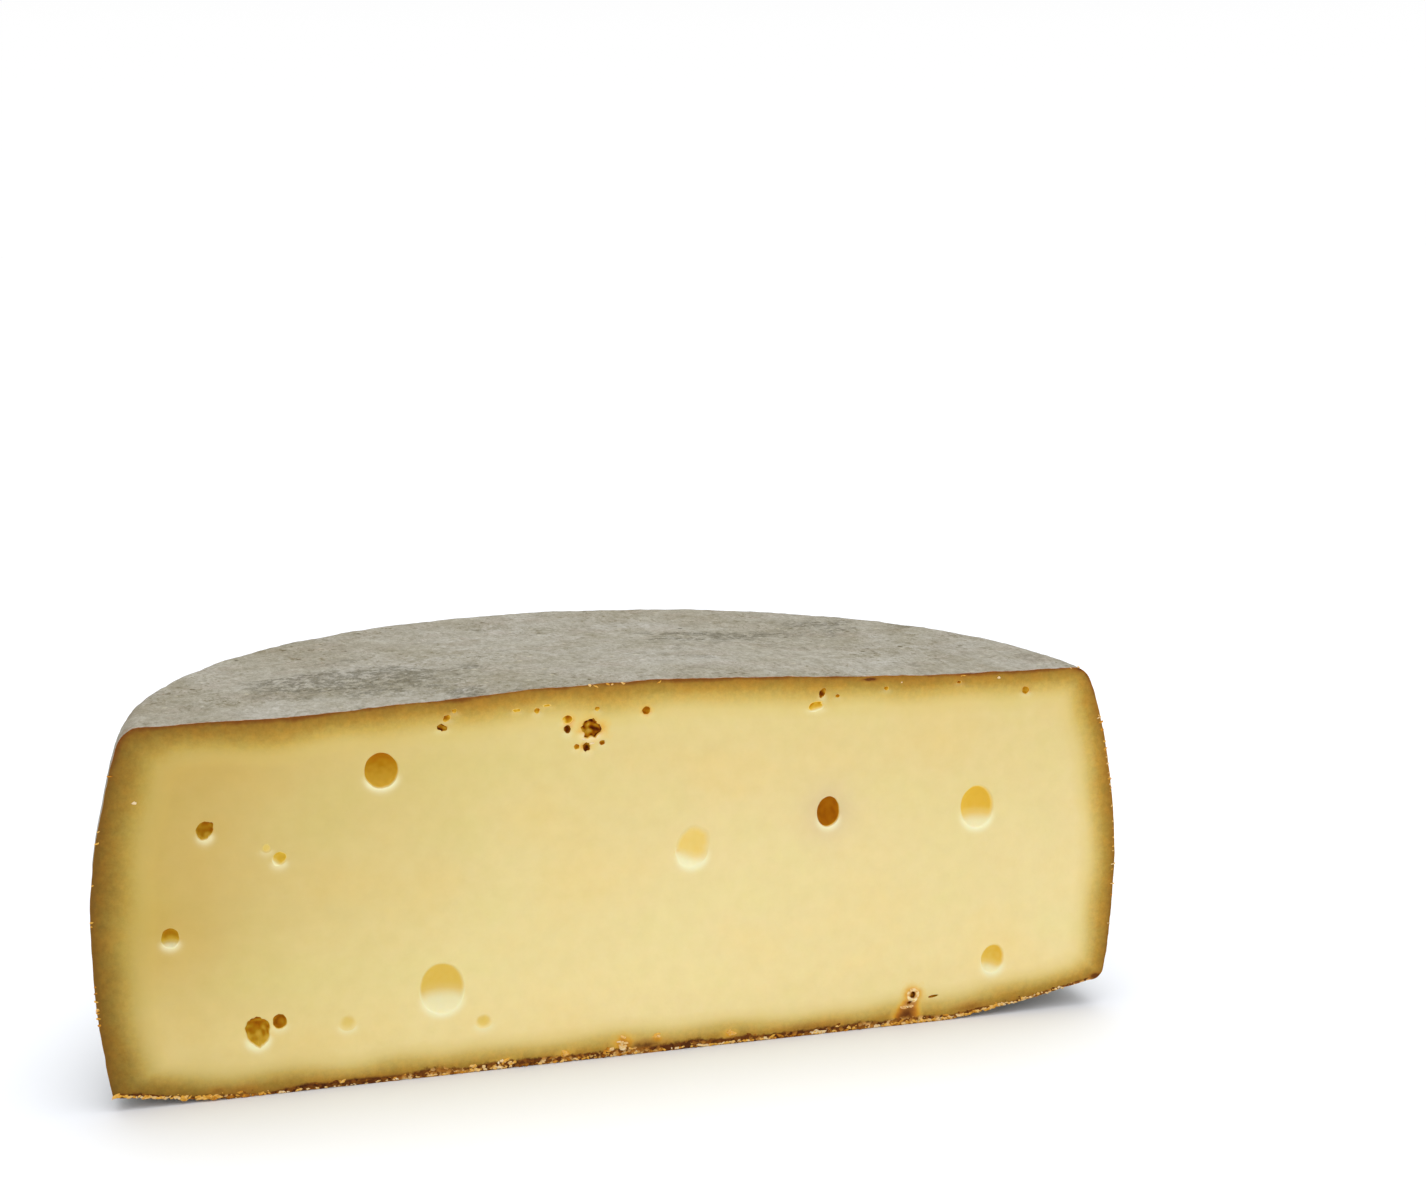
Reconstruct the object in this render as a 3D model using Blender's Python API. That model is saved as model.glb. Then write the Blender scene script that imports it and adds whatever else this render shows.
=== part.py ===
"""Half of a natural-rind cheese wheel, cut straight across and lying on its flat base.

Metres, +Z up. The cut face looks along -Y, and the origin is on the base, in the middle of the part's box.
"""

import math
import random

import bmesh
import bpy
from mathutils import Euler, Matrix, Vector, noise

# The wheel's driving dimensions.
WIDEST_RADIUS = 0.150
WIDEST_HEIGHT = 0.045
SIDE_BULGE_RADIUS = 0.177
EDGE_HEIGHT = 0.1064
CROWN_RISE = 0.004
CROWN_RADIUS = 0.112
TOP_CORNER = 0.0050
BASE_CORNER = 0.0020

# The base is flat in the middle and turns up at the rim, more at the right end of the cut than at the left.
FLAT_RADIUS_LEFT = 0.122
FLAT_RADIUS_RIGHT = 0.100
RIM_LIFT_LEFT = 0.0045
RIM_LIFT_RIGHT = 0.0109
RIM_CURVE = 1.25

# The wheel's axis lies in the cut, so the half is as deep as its radius.
CUT_Y = -WIDEST_RADIUS / 2

# The rind's slow unevenness from handling and turning.
UNEVEN_DEPTH = 0.0006
UNEVEN_PER_METRE = 22.0

# How finely the shell is divided.
ANGLE_STEPS = 52
FLAT_RINGS = 4
RIM_STEPS = 4
CORNER_STEPS = 3
SIDE_STEPS = 11
TOP_RINGS = 9

# Eyes and openings in the cut face: place of the middle from the wheel's axis and above the base, width,
# height and depth of the hollow, and how far its long axis leans to the right, in degrees.
EYES = {
    "upper_left_round": (-0.0715, 0.0900, 0.0090, 0.0096, 0.0055, 0),
    "left_oval": (-0.1190, 0.0765, 0.0040, 0.0056, 0.0060, 32),
    "left_twin_small": (-0.1030, 0.0705, 0.0026, 0.0026, 0.0010, 0),
    "left_twin_large": (-0.0990, 0.0670, 0.0040, 0.0042, 0.0018, 0),
    "left_pit": (-0.1293, 0.0475, 0.0048, 0.0056, 0.0026, 0),
    "lower_left_bowl": (-0.0560, 0.0255, 0.0128, 0.0146, 0.0056, 0),
    "teardrop_top": (-0.1076, 0.0198, 0.0068, 0.0066, 0.0070, 0),
    "teardrop_tail": (-0.1068, 0.0164, 0.0040, 0.0060, 0.0044, 0),
    "teardrop_mate": (-0.1012, 0.0208, 0.0042, 0.0044, 0.0052, 0),
    "lower_left_shallow": (-0.0827, 0.0186, 0.0048, 0.0050, 0.0009, 0),
    "lower_middle_shallow": (-0.0446, 0.0150, 0.0048, 0.0046, 0.0010, 0),
    "middle_shallow": (0.0170, 0.0610, 0.0106, 0.0120, 0.0026, 0),
    "dark_oval": (0.0580, 0.0680, 0.0070, 0.0094, 0.0120, 0),
    "right_round": (0.1046, 0.0655, 0.0106, 0.0124, 0.0046, 0),
    "lower_right_oval": (0.1106, 0.0180, 0.0068, 0.0080, 0.0034, 12),
    "upper_left_pore": (-0.0546, 0.1008, 0.0028, 0.0020, 0.0030, 0),
    "upper_left_pore_mate": (-0.0530, 0.1034, 0.0026, 0.0020, 0.0024, 30),
    "upper_middle_pore": (-0.0190, 0.0994, 0.0028, 0.0042, 0.0036, 0),
    "upper_middle_crag": (-0.0134, 0.0976, 0.0054, 0.0052, 0.0064, 0),
    "upper_middle_crag_side": (-0.0104, 0.0958, 0.0036, 0.0034, 0.0044, 0),
    "upper_middle_crag_foot": (-0.0141, 0.0924, 0.0026, 0.0032, 0.0036, 0),
    "upper_pin": (0.0038, 0.1017, 0.0026, 0.0026, 0.0030, 0),
    "upper_right_slit": (0.0562, 0.1034, 0.0018, 0.0030, 0.0028, 24),
    "upper_right_pit": (0.0545, 0.0998, 0.0048, 0.0036, 0.0024, 0),
    "upper_right_pin": (0.1196, 0.1003, 0.0027, 0.0027, 0.0024, 0),
    "crust_crater": (0.0850, 0.0080, 0.0030, 0.0034, 0.0040, 0),
}
EYE_SEGMENTS = 16
SMALL_EYE = 0.0045
SMALL_EYE_SEGMENTS = 10
SHARP_DEGREES = 35

# Crumbs of rind that stay on the lower edge of the cut: the crater's lips, then small ones along the edge.
LIP_COUNT = 6
LIP_RING = 0.0027
LIP_LEAST, LIP_MOST = 0.0020, 0.0029
CRUMB_SEED = 11
CRUMB_COUNT = 22
CRUMB_FROM_X, CRUMB_TO_X = -0.108, 0.118
CRUMB_LEAST, CRUMB_MOST = 0.0014, 0.0028
CRUMB_LOWEST_SHARE, CRUMB_HIGHEST_SHARE = 0.5, 0.9
CRUMB_CLEAR_OF_FLOOR = 0.0003
CRUMB_PROUD = 0.35
CRUMB_ROUGHNESS = 0.15


def clear_scene():
    for obj in list(bpy.data.objects):
        bpy.data.objects.remove(obj)


def material(name, colour, roughness):
    """A Principled BSDF of one colour."""
    made = bpy.data.materials.new(name)
    made.use_nodes = True
    shader = made.node_tree.nodes["Principled BSDF"]
    shader.inputs["Base Color"].default_value = (*colour, 1.0)
    shader.inputs["Roughness"].default_value = roughness
    shader.inputs["Metallic"].default_value = 0.0
    return made


def side_radius(height):
    """Radius of the wheel's side, an arc that is widest at WIDEST_HEIGHT."""
    off = height - WIDEST_HEIGHT
    return WIDEST_RADIUS - SIDE_BULGE_RADIUS + math.sqrt(SIDE_BULGE_RADIUS**2 - off**2)


def crown_height(radius):
    """Height of the top face, which rises gently towards the axis."""
    share = min(radius / CROWN_RADIUS, 1.0)
    return EDGE_HEIGHT + CROWN_RISE * (0.5 + 0.5 * math.cos(math.pi * share))


def bend(start, corner, end, steps):
    """Points of a smooth turn from start to end, without the two ends."""
    points = []
    for i in range(1, steps):
        t = i / steps
        a, b, c = (1 - t) ** 2, 2 * t * (1 - t), t**2
        points.append((a * start[0] + b * corner[0] + c * end[0], a * start[1] + b * corner[1] + c * end[1]))
    return points


def section(angle):
    """(radius, height) points from the middle of the base, out and up round the side, to the middle of the top."""
    right = 0.5 + 0.5 * math.cos(angle)
    lift = RIM_LIFT_LEFT + (RIM_LIFT_RIGHT - RIM_LIFT_LEFT) * right
    flat = FLAT_RADIUS_LEFT + (FLAT_RADIUS_RIGHT - FLAT_RADIUS_LEFT) * right

    base = [(flat * i / FLAT_RINGS, 0.0) for i in range(FLAT_RINGS + 1)]
    base_corner = (side_radius(lift), lift)
    rim_end = base_corner[0] - BASE_CORNER
    rim = []
    for i in range(1, RIM_STEPS + 1):
        share = i / RIM_STEPS
        rim.append((flat + (rim_end - flat) * share, lift * share**RIM_CURVE))

    side_from, side_to = lift + BASE_CORNER, EDGE_HEIGHT - TOP_CORNER
    side = []
    for i in range(SIDE_STEPS + 1):
        height = side_from + (side_to - side_from) * i / SIDE_STEPS
        side.append((side_radius(height), height))

    top_corner = (side_radius(EDGE_HEIGHT), EDGE_HEIGHT)
    edge = top_corner[0] - TOP_CORNER
    top = []
    for i in range(TOP_RINGS + 1):
        radius = edge * (1 - i / TOP_RINGS)
        top.append((radius, crown_height(radius)))

    low_turn = bend(rim[-1], base_corner, side[0], CORNER_STEPS)
    high_turn = bend(side[-1], top_corner, top[0], CORNER_STEPS)
    return base + rim + low_turn + side + high_turn + top


def uneven(place, radius, height):
    """The place moved out or in a little. The flat of the base isn't moved, so the wheel rests on it."""
    swell = UNEVEN_DEPTH * noise.noise(place * UNEVEN_PER_METRE)
    if radius > side_radius(EDGE_HEIGHT) - TOP_CORNER and height > RIM_LIFT_LEFT:
        outward = Vector((place.x, place.y - CUT_Y, 0.0)).normalized()
        return place + outward * swell
    if height > EDGE_HEIGHT - TOP_CORNER:
        return place + Vector((0.0, 0.0, swell))
    return place


def shell():
    """The outer form: the sections lofted through half a turn, closed by the flat of the cut."""
    mesh = bmesh.new()
    rows = []
    for i in range(ANGLE_STEPS + 1):
        angle = math.pi * i / ANGLE_STEPS
        across, back = math.cos(angle), math.sin(angle) if 0 < i < ANGLE_STEPS else 0.0
        row = []
        for radius, height in section(angle):
            place = Vector((radius * across, CUT_Y + radius * back, height))
            row.append(mesh.verts.new(uneven(place, radius, height)))
        rows.append(row)
    for first, second in zip(rows, rows[1:]):
        for j in range(len(first) - 1):
            mesh.faces.new((first[j], second[j], second[j + 1], first[j + 1]))
    bmesh.ops.remove_doubles(mesh, verts=mesh.verts, dist=1e-6)
    bmesh.ops.holes_fill(mesh, edges=mesh.edges)
    bmesh.ops.recalc_face_normals(mesh, faces=mesh.faces)
    data = bpy.data.meshes.new("half_wheel")
    mesh.to_mesh(data)
    mesh.free()
    half = bpy.data.objects.new("half_wheel", data)
    bpy.context.scene.collection.objects.link(half)
    return half


def helper_collection(name):
    made = bpy.data.collections.new(name)
    bpy.context.scene.collection.children.link(made)
    return made


def add_helper(mesh, name, collection):
    """A mesh that cuts or joins the wheel, and is then removed."""
    data = bpy.data.meshes.new(name)
    mesh.to_mesh(data)
    mesh.free()
    obj = bpy.data.objects.new(name, data)
    obj.hide_render = True
    obj.display_type = "WIRE"
    collection.objects.link(obj)


def add_eye(name, collection):
    """A ball that cuts a hollow of the eye's width, height and depth where it crosses the cut face."""
    x, z, width, height, depth, lean = EYES[name]
    half_width = width / 2
    ball = (half_width**2 + depth**2) / (2 * depth)
    behind = depth - ball
    segments = SMALL_EYE_SEGMENTS if width < SMALL_EYE else EYE_SEGMENTS
    mesh = bmesh.new()
    bmesh.ops.create_uvsphere(mesh, u_segments=segments, v_segments=segments // 2 + 1, radius=ball)
    stretch = Matrix.Diagonal((1.0, 1.0, height / width, 1.0))
    turn = Euler((0.0, math.radians(lean), 0.0)).to_matrix().to_4x4()
    move = Matrix.Translation((x, CUT_Y + behind, z))
    mesh.transform(move @ turn @ stretch)
    add_helper(mesh, name, collection)


def add_crumb(name, x, z, size, draw, collection):
    """A rough little lump that stands out of the cut face by CRUMB_PROUD of its size."""
    mesh = bmesh.new()
    bmesh.ops.create_icosphere(mesh, subdivisions=1, radius=size / 2)
    for vert in mesh.verts:
        vert.co *= 1 + draw.uniform(-CRUMB_ROUGHNESS, CRUMB_ROUGHNESS)
    mesh.transform(Matrix.Rotation(draw.uniform(0, math.tau), 4, "Y"))
    lowest = min(vert.co.z for vert in mesh.verts)
    z = max(z, CRUMB_CLEAR_OF_FLOOR - lowest)
    mesh.transform(Matrix.Translation((x, CUT_Y + size * (0.5 - CRUMB_PROUD), z)))
    add_helper(mesh, name, collection)


def lower_edge(x):
    """Height of the base's rim in the cut, at this distance from the axis."""
    left = x < 0
    flat = FLAT_RADIUS_LEFT if left else FLAT_RADIUS_RIGHT
    lift = RIM_LIFT_LEFT if left else RIM_LIFT_RIGHT
    share = max(0.0, abs(x) - flat) / (side_radius(lift) - BASE_CORNER - flat)
    return lift * share**RIM_CURVE


def add_crumbs(collection):
    draw = random.Random(CRUMB_SEED)
    crater_x, crater_z = EYES["crust_crater"][:2]
    for i in range(LIP_COUNT):
        angle = math.tau * i / LIP_COUNT
        x = crater_x + LIP_RING * math.cos(angle)
        z = crater_z + LIP_RING * math.sin(angle)
        add_crumb(f"lip_{i}", x, z, draw.uniform(LIP_LEAST, LIP_MOST), draw, collection)
    for i in range(CRUMB_COUNT):
        x = CRUMB_FROM_X + (CRUMB_TO_X - CRUMB_FROM_X) * (i + draw.random()) / CRUMB_COUNT
        size = draw.uniform(CRUMB_LEAST, CRUMB_MOST)
        z = lower_edge(x) + size * draw.uniform(CRUMB_LOWEST_SHARE, CRUMB_HIGHEST_SHARE)
        add_crumb(f"crumb_{i}", x, z, size, draw, collection)


def apply_boolean(half, operation, collection):
    """Joins or cuts the collection's shapes, keeps the result as the wheel's own mesh, and removes the shapes."""
    modifier = half.modifiers.new(operation, "BOOLEAN")
    modifier.operation = operation
    modifier.operand_type = "COLLECTION"
    modifier.collection = collection
    modifier.solver = "EXACT"
    graph = bpy.context.evaluated_depsgraph_get()
    result = bpy.data.meshes.new_from_object(half.evaluated_get(graph))
    half.modifiers.clear()
    half.data = result
    for obj in list(collection.objects):
        bpy.data.objects.remove(obj)
    bpy.data.collections.remove(collection)


def build():
    clear_scene()
    half = shell()

    crumbs = helper_collection("crumbs")
    add_crumbs(crumbs)
    apply_boolean(half, "UNION", crumbs)

    eyes = helper_collection("eyes")
    for name in EYES:
        add_eye(name, eyes)
    apply_boolean(half, "DIFFERENCE", eyes)

    half.name = "half_wheel"
    half.data.name = "half_wheel"
    half.data.materials.clear()
    half.data.materials.append(material("cheese", (0.80, 0.64, 0.28), 0.55))
    half.data.shade_smooth()
    half.data.set_sharp_from_angle(angle=math.radians(SHARP_DEGREES))


build()
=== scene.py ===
"""Half of a natural-rind cheese wheel lying on its flat base, cut face forward, on a plain pale floor.

Metres, +Z up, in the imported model's own frame. Distances in the tables below are in millimetres.
"""

import math
import random

import bmesh
import bpy
import numpy as np
from mathutils import Matrix, Vector, geometry, kdtree, noise


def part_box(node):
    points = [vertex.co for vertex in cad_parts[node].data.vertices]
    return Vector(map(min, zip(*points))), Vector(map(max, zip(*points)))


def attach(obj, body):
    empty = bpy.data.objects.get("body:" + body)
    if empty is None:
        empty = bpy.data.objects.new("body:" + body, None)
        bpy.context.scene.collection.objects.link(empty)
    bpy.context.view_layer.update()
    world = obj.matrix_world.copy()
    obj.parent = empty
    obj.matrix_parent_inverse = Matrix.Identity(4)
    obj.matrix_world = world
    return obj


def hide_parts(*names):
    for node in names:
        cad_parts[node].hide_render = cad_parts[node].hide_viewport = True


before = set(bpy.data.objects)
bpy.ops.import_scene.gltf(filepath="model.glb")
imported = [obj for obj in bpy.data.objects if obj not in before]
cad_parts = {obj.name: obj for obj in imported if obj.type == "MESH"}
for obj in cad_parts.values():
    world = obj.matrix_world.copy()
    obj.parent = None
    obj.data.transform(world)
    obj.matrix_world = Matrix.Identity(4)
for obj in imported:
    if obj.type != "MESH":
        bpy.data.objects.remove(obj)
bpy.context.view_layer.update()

MM = 0.001

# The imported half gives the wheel's size and place. Its axis stands in the cut.
LOW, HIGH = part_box("half_wheel")
WIDEST_RADIUS = (HIGH.x - LOW.x) / 2
AXIS_X = (HIGH.x + LOW.x) / 2
CUT_Y = HIGH.y - WIDEST_RADIUS
TOP_SWELL = 0.25 * MM
CROWN_RISE = 4 * MM
EDGE_HEIGHT = HIGH.z - CROWN_RISE - TOP_SWELL

# The section: a bulged side, a soft upper corner, a lower one that is sharp at the left only, and a rim that
# turns up.
WIDEST_HEIGHT = 45 * MM
UPPER_BULGE_RADIUS, LOWER_BULGE_RADIUS = 177 * MM, 235 * MM
CROWN_RADIUS = 112 * MM
TOP_CORNER = 5 * MM
BASE_CORNER_LEFT, BASE_CORNER_RIGHT = 1.2 * MM, 4.2 * MM
FLAT_RADIUS_LEFT, FLAT_RADIUS_RIGHT = 112 * MM, 94 * MM
RIM_LIFT_LEFT, RIM_LIFT_RIGHT = 3.8 * MM, 7.9 * MM
RIM_CURVE = 1.25

# Shares of the side's height line taken by the lower corner and by everything below the upper corner.
LOW_CORNER_SHARE, SIDE_SHARE = 0.045, 0.93
SIDE_LENGTH = 108 * MM

# Mesh spacing: fine along the cut's edge, then coarser by steps, each up to a distance from that edge.
FINE = 0.6 * MM
CUT_STEPS = ((0.6 * MM, 3 * MM), (0.95 * MM, 8 * MM), (1.55 * MM, 1.0))
RIND_STEPS = ((0.6 * MM, 2 * MM), (0.95 * MM, 6 * MM), (1.5 * MM, 1.0))
BASE_STEPS = ((0.6 * MM, 2 * MM), (1.2 * MM, 6 * MM), (3.0 * MM, 1.0))
RIM_SPACING = 1.45 * MM
RIM_EASE = 12 * MM
JITTER = 0.22
KEEP_APART = 0.62

# Eyes in the cut, in millimetres: middle from the axis and above the base, width, height and depth. Then the
# lean to the right in degrees, how far the lower half narrows, how ragged the outline is, how dark the hollow
# is, partly its own colour and partly painted shade, and how far up it the pale lower lip of painted light
# reaches, as a share of its height.
EYES = {
    "upper_left_round": (-71.3, 89.9, 9.2, 9.9, 4.6, 0, 0.0, 0.02, 0.82, 0.0),
    "left_oval": (-119.0, 76.7, 4.1, 5.4, 2.6, 34, 0.0, 0.09, 0.88, 0.0),
    "left_twin_small": (-102.9, 70.6, 2.6, 2.6, 0.4, 30, 0.0, 0.05, 0.4, 0.0),
    "left_twin_large": (-99.6, 67.4, 3.8, 4.2, 1.1, 38, 0.2, 0.06, 0.66, 0.2),
    "left_pit": (-129.3, 47.6, 4.9, 5.6, 2.2, 0, 0.0, 0.04, 0.8, 0.26),
    "lower_left_bowl": (-56.1, 25.8, 12.7, 15.0, 4.4, 0, 0.0, 0.015, 0.5, 0.4),
    "teardrop": (-107.2, 18.5, 6.9, 9.0, 3.2, -6, 0.42, 0.1, 0.86, 0.0),
    "teardrop_mate": (-101.2, 20.9, 3.9, 4.2, 1.9, 0, 0.0, 0.05, 0.96, 0.0),
    "lower_left_shallow": (-82.7, 18.6, 4.8, 4.6, 0.5, 0, 0.0, 0.03, 0.32, 0.0),
    "lower_middle_shallow": (-44.6, 14.9, 4.8, 4.2, 0.6, 0, 0.0, 0.03, 0.42, 0.0),
    "middle_shallow": (16.9, 61.0, 10.0, 12.4, 2.2, 22, 0.0, 0.04, 0.34, 0.26),
    "dark_oval": (58.0, 68.0, 6.8, 9.0, 4.4, 3, 0.0, 0.02, 1.00, 0.0),
    "right_round": (104.7, 65.9, 10.6, 13.0, 3.8, 0, 0.0, 0.01, 0.6, 0.28),
    "lower_right_oval": (110.6, 18.0, 7.3, 9.0, 2.6, 16, 0.0, 0.02, 0.55, 0.28),
    "upper_left_pore": (-54.4, 100.7, 2.9, 1.9, 1.4, 14, 0.0, 0.16, 1.02, 0.0),
    "upper_left_pore_mate": (-53.0, 103.3, 2.4, 1.7, 0.9, -28, 0.0, 0.14, 0.94, 0.0),
    "upper_left_pin": (-50.8, 105.2, 1.4, 1.2, 0.6, 0, 0.0, 0.1, 0.94, 0.0),
    "upper_middle_basin": (-19.1, 100.7, 3.2, 2.5, 0.8, 0, 0.0, 0.12, 0.86, 0.0),
    "upper_middle_pore": (-19.2, 97.9, 1.8, 2.3, 1.7, 0, 0.0, 0.12, 1.0, 0.0),
    "upper_middle_crag": (-12.6, 97.6, 5.9, 5.5, 3.0, 30, 0.0, 0.21, 0.98, 0.0),
    "upper_middle_crag_side": (-9.3, 93.4, 1.6, 1.4, 1.0, -30, 0.0, 0.14, 1.02, 0.0),
    "upper_middle_crag_foot": (-13.8, 92.4, 2.1, 2.5, 1.8, 12, 0.0, 0.16, 1.0, 0.0),
    "upper_middle_crag_shelf": (-16.6, 92.7, 1.7, 1.6, 0.6, 0, 0.0, 0.12, 0.86, 0.0),
    "upper_pin": (3.7, 101.8, 2.5, 2.3, 1.2, 0, 0.0, 0.10, 0.94, 0.0),
    "upper_right_slit": (56.0, 103.5, 1.7, 3.0, 1.4, 32, 0.0, 0.14, 1.04, 0.0),
    "upper_right_pit": (54.0, 99.7, 4.8, 2.8, 1.0, -14, 0.0, 0.08, 0.8, 0.2),
    "upper_right_pin": (119.6, 100.3, 2.4, 2.2, 1.2, 0, 0.0, 0.08, 0.9, 0.0),
    "band_pit_a": (-33.5, 104.2, 2.6, 1.2, 0.4, 0, 0.0, 0.14, 0.84, 0.0),
    "band_pit_b": (-27.7, 103.8, 1.7, 1.7, 0.5, 0, 0.0, 0.14, 0.84, 0.0),
    "band_pit_c": (-24.9, 105.0, 2.4, 0.9, 0.3, 0, 0.0, 0.14, 0.84, 0.0),
    "band_pit_d": (-10.6, 103.2, 1.5, 1.3, 0.5, 0, 0.0, 0.14, 0.84, 0.0),
    "band_pit_e": (60.6, 102.3, 1.4, 1.1, 0.4, 0, 0.0, 0.1, 0.9, 0.0),
    "band_pit_f": (75.6, 103.6, 1.5, 1.2, 0.5, 0, 0.0, 0.1, 0.9, 0.0),
    "band_pit_g": (98.3, 104.0, 1.7, 0.9, 0.4, 0, 0.0, 0.1, 0.9, 0.0),
    "crater_upper": (85.1, 9.1, 1.5, 2.0, 1.6, 8, 0.0, 0.14, 1.14, 0.0),
    "crater_lower": (84.0, 6.8, 1.8, 0.8, 1.1, -20, 0.0, 0.16, 1.12, 0.0),
    "crust_slit": (91.6, 8.0, 3.4, 0.8, 0.8, -6, 0.0, 0.12, 1.12, 0.0),
}
RIM_ROUND, RIM_ROUND_SHARE = 0.28 * MM, 0.16
EYE_RIM_SPACING = 0.42 * MM
BOWL_RINGS = 12

# A hollow's colour, partly its own and partly painted shade, fades in from its rim, slowly where it is flat:
# flatness and share of the depth.
FLATNESS, FADE = (0.12, 0.36), (0.95, 0.25)
# Painted light on a hollow's pale lower lip: its soft upper edge, as a share of half an eye's height, and the
# reach of that painted light below a rim, in mm.
LIP_SOFT, LIP_BELOW = 0.75, 1.3
# Painted shade: the upper part of a hollow is darker than the lower, most of all in the middling dark ones:
# tone and share.
SHADE_TONES, UPPER_SHADE = (0.5, 0.8, 1.0), (0.06, 0.26, 0.0)

# Torn rims that stand proud of the cut, in millimetres: middle, half width, half height, breadth and relief.
TORN_RIMS = (
    (85.1, 9.1, 1.5, 1.75, 0.58, 0.6),
    (83.2, 5.6, 1.6, 0.35, 0.5, 0.45),
)

# Stains on the cut, in millimetres: middle, reach across, reach up and down, strength. The brown ones have a
# golden rim, the dark ones fade out.
BROWN_STAINS = (
    (84.9, 8.9, 3.7, 3.8, 0.5),
    (84.4, 6.4, 3.1, 2.4, 0.7),
    (83.4, 4.6, 3.7, 2.4, 0.86),
    (83.0, 2.8, 4.0, 1.7, 1.0),
    (-4.0, 3.6, 3.6, 3.2, 0.5),
    (-4.2, 4.8, 2.2, 2.2, 0.42),
    (5.9, 3.8, 2.2, 1.7, 0.42),
    (-21.2, 2.2, 2.6, 2.0, 0.36),
    (-39.0, 1.6, 5.0, 2.0, 0.36),
    (28.0, 3.0, 3.0, 1.8, 0.36),
    (-12.2, 97.2, 4.6, 4.2, 0.5),
    (-18.8, 99.8, 2.4, 2.8, 0.4),
    (-14.2, 92.6, 2.6, 2.0, 0.35),
    (3.7, 101.6, 2.2, 2.0, 0.4),
    (12.6, 59.8, 1.3, 0.9, 0.28),
)
DARK_STAINS = (
    (82.9, 3.3, 3.4, 1.9, 0.75),
    (104.0, 3.4, 7.0, 2.4, 0.5),
    (54.0, 2.6, 15.0, 1.9, 0.45),
    (30.0, 2.0, 9.0, 1.3, 0.35),
    (2.5, 2.5, 7.5, 2.1, 0.72),
    (-20.0, 1.6, 6.0, 1.2, 0.4),
    (-40.0, 1.2, 7.0, 1.1, 0.5),
    (-80.0, 0.9, 21.0, 1.4, 1.0),
    (-113.0, 2.0, 8.0, 1.8, 0.4),
    (-118.5, 2.9, 3.2, 1.1, 0.5),
    (144.9, 9.0, 2.6, 1.3, 1.0),
    (70.5, 106.6, 3.2, 0.7, 1.0),
    (102.5, 106.6, 9.0, 0.9, 0.8),
    (138.0, 105.9, 5.0, 1.6, 0.75),
    (142.6, 103.4, 1.6, 2.8, 0.55),
    (119.6, 100.3, 2.1, 1.7, 0.4),
    (3.7, 101.6, 2.0, 1.8, 0.3),
)
GREY_STAINS = ((58.0, 68.0, 8.0, 9.0, 0.8),)
STAINS = {"brown": BROWN_STAINS, "dark": DARK_STAINS, "grey": GREY_STAINS}

# Width of the darker band under the rind, in millimetres, along each edge of the cut.
BANDS = {"left": 17.5, "right": 13.5, "edge_line": 13.0, "rim_line": 11.0}
BAND_UNEVEN = 1.6

# The rough crust along the cut's lower edge. It is lower towards both ends: place from the axis and share.
CRUST_HEIGHT = 3.8
CRUST_PLACES, CRUST_SHARES = (-115, -60, 85, 115), (0.45, 1.0, 0.9, 0.35)
EDGE_RELIEF = ((900, 0.16 * MM, 6.0),)

# How far the rind is worn and stained from the cut inwards.
BRINK_REACH = 3.0 * MM

# Relief as layers of noise, each with its scale per metre, its depth and a shift that keeps it apart.
RIND_RELIEF = ((85, 0.30 * MM, 5.0), (330, 0.16 * MM, 9.0))
CRUST_RELIEF = ((620, 0.8 * MM, 2.0), (1500, 0.4 * MM, 4.0))
BASE_LINE_RELIEF = ((330, 0.35 * MM, 12.0), (900, 0.14 * MM, 13.0))

FLOOR_SIZE, FLOOR_COLOUR = 12.0, (0.81, 0.83, 0.87)

# Where the camera stood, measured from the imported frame's origin, and how it was turned.
CAMERA_PLACE = Vector((-142.6, -656.7, 239.9)) * MM
CAMERA_YAW, CAMERA_PITCH, CAMERA_ROLL = math.radians(15.915), math.radians(10.079), math.radians(-0.176)
LENS_MM, SENSOR_MM = 55.02, 36.0

# Brightness of the sky by height, from the horizon up, and the sun.
SKY = ((0.0, 1.01), (0.08, 1.0), (0.25, 0.85), (0.55, 0.9), (1.0, 1.5))
SUN_POWER, SUN_SOFTNESS = 1.0, math.radians(50)
SUN_HEIGHT, SUN_SIDE = math.radians(76), math.radians(150)


def side_radius(height):
    """Radius of the wheel's side, two arcs that meet at WIDEST_HEIGHT."""
    off = height - WIDEST_HEIGHT
    bulge = np.where(off > 0, UPPER_BULGE_RADIUS, LOWER_BULGE_RADIUS)
    return WIDEST_RADIUS - bulge + np.sqrt(bulge**2 - off**2)


def crown_height(radius):
    """Height of the top face, which rises gently towards the axis."""
    share = np.minimum(radius / CROWN_RADIUS, 1.0)
    return EDGE_HEIGHT + CROWN_RISE * (0.5 + 0.5 * np.cos(np.pi * share))


def between(left, right, angle):
    """A measure that changes smoothly round the back, from the cut's left end to its right end."""
    return left + (right - left) * (0.5 + 0.5 * np.cos(angle))


def rim_lift(angle):
    return between(RIM_LIFT_LEFT, RIM_LIFT_RIGHT, angle)


def base_corner(angle):
    return between(BASE_CORNER_LEFT, BASE_CORNER_RIGHT, angle)


def base_height(radius, angle):
    """Height of the underside: flat in the middle and turned up towards the rim."""
    flat = between(FLAT_RADIUS_LEFT, FLAT_RADIUS_RIGHT, angle)
    lift = rim_lift(angle)
    share = np.clip((radius - flat) / (side_radius(lift) - base_corner(angle) - flat), 0.0, 1.0)
    return lift * share**RIM_CURVE


def turn(start, corner, end, t):
    """A smooth corner from start to end, for each t from 0 to 1."""
    return (1 - t) ** 2 * start + 2 * t * (1 - t) * corner + t**2 * end


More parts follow.
